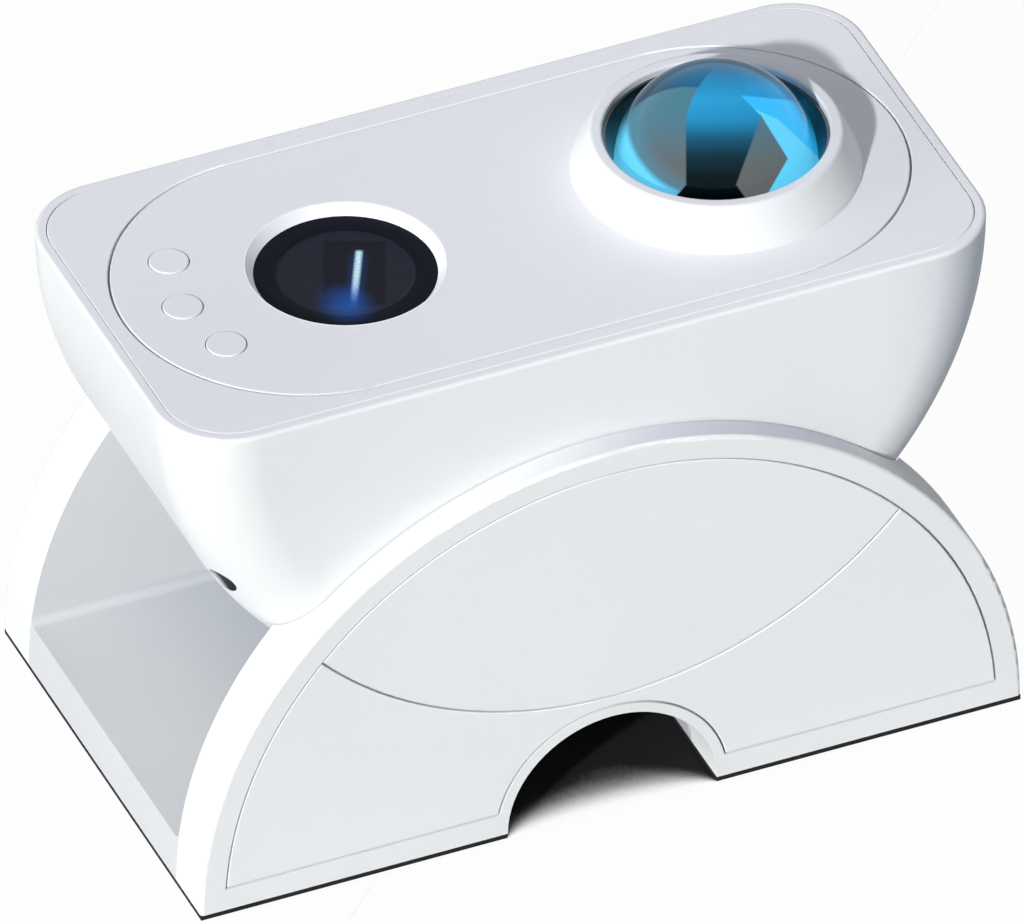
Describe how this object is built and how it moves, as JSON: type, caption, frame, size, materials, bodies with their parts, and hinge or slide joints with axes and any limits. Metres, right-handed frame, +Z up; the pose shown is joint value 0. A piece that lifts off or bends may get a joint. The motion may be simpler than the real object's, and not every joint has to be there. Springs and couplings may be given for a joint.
{
  "type": "planetarium projector",
  "caption": "Star and nebula projector: a half-drum body with a laser window, glass dome and push buttons that rocks in a half-disc cradle stand.",
  "frame": {"origin": "on the table, under the middle of the cradle's footprint", "axes": "+X to the right along the long side, towards the dome; +Y to the rear; +Z up"},
  "size_m": [0.16, 0.0908, 0.1208],
  "materials": {
    "white_shell": "satin",
    "deck_white": "fine matt",
    "grip_rubber": "matt",
    "sole_rubber": "matt",
    "inner_plastic": "matt",
    "gear_nylon": "matt",
    "smoked_window": "polished",
    "blue_dome": "polished",
    "dark_ring": "polished",
    "clear_film": "clear",
    "screw_steel": "zinc plated",
    "motor_steel": "plated",
    "brass": "turned",
    "sink_aluminium": "extruded",
    "reflector_chrome": "mirror",
    "board_green": "solder mask",
    "board_white": "solder mask",
    "black_plastic": "matt",
    "header_cream": "matt",
    "capacitor_skin": "sleeve",
    "led_face": "phosphor"
  },
  "bodies": {
    "cradle": {"cradle_frame": "white_shell", "front_left_grip_pad": "grip_rubber", "rear_left_grip_pad": "grip_rubber", "front_right_grip_pad": "grip_rubber", "rear_right_grip_pad": "grip_rubber", "front_upper_panel": "white_shell", "front_lower_panel": "white_shell", "rear_upper_panel": "white_shell", "rear_lower_panel": "white_shell", "left_floor_cover": "inner_plastic", "right_floor_cover": "inner_plastic", "left_rubber_sole": "sole_rubber", "right_rubber_sole": "sole_rubber", "floor_cover_screws": "screw_steel"},
    "projector": {"lower_shell": "white_shell", "top_deck": "deck_white", "stadium_panel": "deck_white", "laser_bezel": "white_shell", "laser_window": "smoked_window", "dome_bezel": "white_shell", "dome_retaining_ring": "dark_ring", "dome_lens": "blue_dome", "dome_seat_ring": "inner_plastic", "button_board": "board_green", "tact_switches": "black_plastic", "button_board_screws": "screw_steel", "optics_chassis": "inner_plastic", "deck_screws": "screw_steel", "shell_screws": "screw_steel", "laser_motor": "motor_steel", "ripple_motor": "motor_steel", "motor_screws": "screw_steel", "laser_block": "sink_aluminium", "laser_barrel": "brass", "laser_block_screws": "screw_steel", "led_heat_sink": "sink_aluminium", "heat_sink_screws": "screw_steel", "led_board": "board_white", "led_chips": "led_face", "led_reflector": "reflector_chrome", "condenser_lens": "clear_film", "main_board": "board_green", "board_chips": "black_plastic", "board_capacitors": "capacitor_skin", "board_plug_headers": "header_cream", "main_board_screws": "screw_steel", "power_socket": "black_plastic"},
    "rear_key": {"rear_button": "deck_white"},
    "middle_key": {"middle_button": "deck_white"},
    "front_key": {"front_button": "deck_white"},
    "laser_turntable": {"laser_wheel": "gear_nylon", "grating_film": "clear_film", "laser_wheel_clip": "gear_nylon"},
    "ripple_turntable": {"ripple_wheel": "gear_nylon", "ripple_disc": "clear_film", "ripple_wheel_clip": "gear_nylon"},
    "laser_drive": {"laser_motor_shaft": "screw_steel", "laser_pinion": "brass"},
    "ripple_drive": {"ripple_motor_shaft": "screw_steel", "ripple_pinion": "brass"}
  },
  "joints": [
    {"name": "tilt", "type": "hinge", "parent": "cradle", "child": "projector", "pos_m": [0, 0, 0.1013], "axis": [0, 1, 0], "range_deg": [-35, 35]},
    {"name": "rear_press", "type": "slide", "parent": "projector", "child": "rear_key", "axis": [0, 0, -1], "range_m": [0, 0.0005], "stiffness_N_per_m": 700},
    {"name": "middle_press", "type": "slide", "parent": "projector", "child": "middle_key", "axis": [0, 0, -1], "range_m": [0, 0.0005], "stiffness_N_per_m": 700},
    {"name": "front_press", "type": "slide", "parent": "projector", "child": "front_key", "axis": [0, 0, -1], "range_m": [0, 0.0005], "stiffness_N_per_m": 700},
    {"name": "laser_wheel_spin", "type": "hinge", "parent": "projector", "child": "laser_turntable", "pos_m": [-0.032, 0, 0.085], "axis": [0, 0, 1], "continuous": true},
    {"name": "ripple_wheel_spin", "type": "hinge", "parent": "projector", "child": "ripple_turntable", "pos_m": [0.04, 0, 0.085], "axis": [0, 0, 1], "continuous": true},
    {"name": "laser_motor_spin", "type": "hinge", "parent": "projector", "child": "laser_drive", "pos_m": [-0.0112, 0, 0.085], "axis": [0, 0, 1], "continuous": true},
    {"name": "ripple_motor_spin", "type": "hinge", "parent": "projector", "child": "ripple_drive", "pos_m": [0.016, 0, 0.085], "axis": [0, 0, 1], "continuous": true}
  ],
  "couplings": [
    {"joint": "laser_motor_spin", "follows": "laser_wheel_spin", "ratio": -3.3333},
    {"joint": "ripple_motor_spin", "follows": "ripple_wheel_spin", "ratio": -4}
  ]
}
